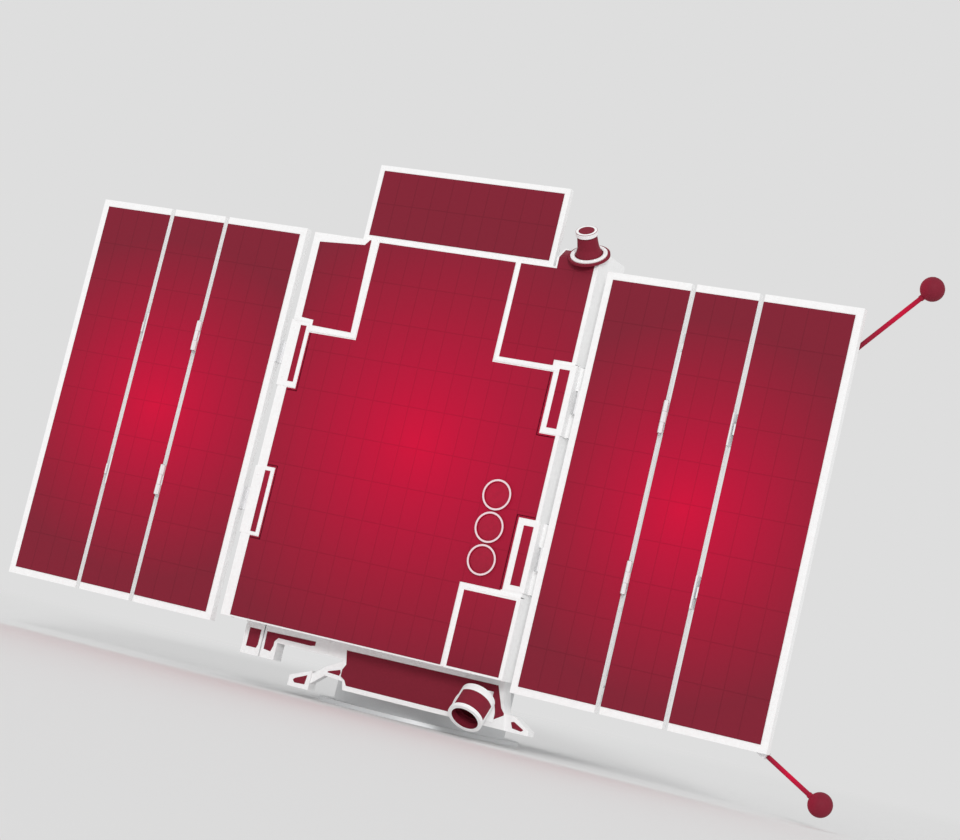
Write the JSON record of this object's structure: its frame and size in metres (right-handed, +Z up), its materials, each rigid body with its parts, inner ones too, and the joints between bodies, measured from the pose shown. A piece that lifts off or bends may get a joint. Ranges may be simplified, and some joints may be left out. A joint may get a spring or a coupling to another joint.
{
  "type": "satellite",
  "caption": "Small science satellite on its launch ring, with folding solar wings, a cone antenna, ball probes and a baffled sensor.",
  "frame": {"origin": "centre of the launch ring's lower flange, on the floor", "axes": "+Z up along the ring, +X towards the wing with the probes, cell faces look along -Y"},
  "size_m": [1.783, 0.686, 1.052],
  "materials": {
    "cell_sheet": "solar cells under crimson cover glass",
    "panel_skin": "white painted honeycomb panel",
    "wall_skin": "white painted wall panel",
    "cover": "crimson painted cover with a white edge",
    "alloy": "machined alloy",
    "steel": "ground pin",
    "radiator": "white painted radiator plate",
    "antenna": "crimson painted antenna",
    "probe": "crimson coated probe",
    "pad": "moulded pad"
  },
  "bodies": {
    "bus": {"adapter_lower_flange": "alloy", "adapter_shell": "alloy", "adapter_upper_flange": "alloy", "antenna_cone": "antenna", "antenna_flange": "antenna", "antenna_tower": "cover", "aperture_rings": "alloy", "back_wall": "wall_skin", "body_array": "panel_skin", "body_cells": "cell_sheet", "bottom_deck": "wall_skin", "corner_unit": "cover", "front_wall": "wall_skin", "instrument_bay": "cover", "left_cover": "cover", "left_units": "cover", "left_wall": "wall_skin", "low_cover": "cover", "lower_beam": "cover", "rear_radiator": "radiator", "right_wall": "wall_skin", "root_bracket_left": "cover", "root_bracket_right": "cover", "root_pins_left": "steel", "root_pins_right": "steel", "screen_gussets": "alloy", "sensor_arm": "cover", "sensor_baffle": "cover", "sensor_head": "cover", "top_deck": "wall_skin", "top_screen": "panel_skin", "top_screen_face": "cell_sheet", "wing_pads_left": "pad", "wing_pads_right": "pad"},
    "right_inner": {"cells_right_inner": "cell_sheet", "fittings_right_inner": "alloy", "wing_right_inner": "panel_skin"},
    "right_middle": {"cells_right_middle": "cell_sheet", "fittings_right_middle": "alloy", "wing_right_middle": "panel_skin"},
    "right_outer": {"cells_right_outer": "cell_sheet", "fittings_right_outer": "alloy", "probe_clamps": "alloy", "probes": "probe", "wing_right_outer": "panel_skin"},
    "left_inner": {"cells_left_inner": "cell_sheet", "fittings_left_inner": "alloy", "wing_left_inner": "panel_skin"},
    "left_middle": {"cells_left_middle": "cell_sheet", "fittings_left_middle": "alloy", "wing_left_middle": "panel_skin"},
    "left_outer": {"cells_left_outer": "cell_sheet", "fittings_left_outer": "alloy", "wing_left_outer": "panel_skin"}
  },
  "joints": [
    {"name": "right_root_hinge", "type": "hinge", "parent": "bus", "child": "right_inner", "pos_m": [0.32, -0.305, 0.12], "axis": [0, 0, 1], "range_deg": [0, 90]},
    {"name": "right_middle_hinge", "type": "hinge", "parent": "right_inner", "child": "right_middle", "pos_m": [0.505, -0.333, 0.12], "axis": [0, 0, 1], "range_deg": [-180, 0]},
    {"name": "right_outer_hinge", "type": "hinge", "parent": "right_middle", "child": "right_outer", "pos_m": [0.6375, -0.305, 0.12], "axis": [0, 0, 1], "range_deg": [0, 180]},
    {"name": "left_root_hinge", "type": "hinge", "parent": "bus", "child": "left_inner", "pos_m": [-0.32, -0.305, 0.12], "axis": [0, 0, -1], "range_deg": [0, 90]},
    {"name": "left_middle_hinge", "type": "hinge", "parent": "left_inner", "child": "left_middle", "pos_m": [-0.5215, -0.333, 0.12], "axis": [0, 0, -1], "range_deg": [-180, 0]},
    {"name": "left_outer_hinge", "type": "hinge", "parent": "left_middle", "child": "left_outer", "pos_m": [-0.654, -0.305, 0.12], "axis": [0, 0, -1], "range_deg": [0, 180]}
  ],
  "couplings": [
    {"joint": "right_middle_hinge", "follows": "right_root_hinge", "ratio": -2},
    {"joint": "right_outer_hinge", "follows": "right_root_hinge", "ratio": 2},
    {"joint": "left_middle_hinge", "follows": "left_root_hinge", "ratio": -2},
    {"joint": "left_outer_hinge", "follows": "left_root_hinge", "ratio": 2}
  ]
}
